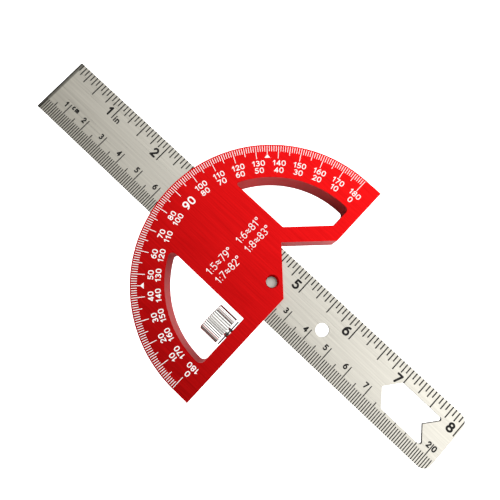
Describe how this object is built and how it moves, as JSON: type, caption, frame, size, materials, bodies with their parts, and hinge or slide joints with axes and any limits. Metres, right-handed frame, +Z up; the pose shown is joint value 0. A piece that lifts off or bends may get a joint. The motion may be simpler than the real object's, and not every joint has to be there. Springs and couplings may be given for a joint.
{
  "type": "adjustable set square",
  "caption": "Half-round protractor head with two windows and a centre-finder notch, sliding on a flat steel rule, with a knurled thumb-screw in one window.",
  "frame": {"origin": "under the middle of the rule, on the surface that the head's back face rests on", "axes": "+X along the rule from its zero end, +Y towards the inch edge, +Z up out of the marked face"},
  "size_m": [0.204, 0.105, 0.012],
  "materials": {
    "red_anodised_aluminium": "brushed and dyed red",
    "brushed_stainless_steel": "brushed along the length",
    "polished_steel": "polished, straight knurled",
    "black_washer": "matt black",
    "white_filling": "white enamel in the head's engraving",
    "black_filling": "black enamel in the rule's divisions"
  },
  "bodies": {
    "head": {"protractor_body": "red_anodised_aluminium"},
    "rule": {"steel_rule": "brushed_stainless_steel"},
    "washer": {"screw_washer": "black_washer"},
    "screw": {"thumb_screw": "polished_steel"}
  },
  "joints": [
    {"name": "rule_slide", "type": "slide", "parent": "head", "child": "rule", "axis": [1, 0, 0], "range_m": [-0.08, 0.064]},
    {"name": "screw_travel", "type": "slide", "parent": "head", "child": "washer", "axis": [-1, 0, 0], "range_m": [-0.00035, 0.0032]},
    {"name": "screw_turn", "type": "hinge", "parent": "washer", "child": "screw", "pos_m": [0.0147, -0.025, 0.006], "axis": [-1, 0, 0], "range_deg": [-158, 1441]}
  ],
  "couplings": [
    {"joint": "screw_turn", "follows": "screw_travel", "rad_per_m": 7854}
  ]
}
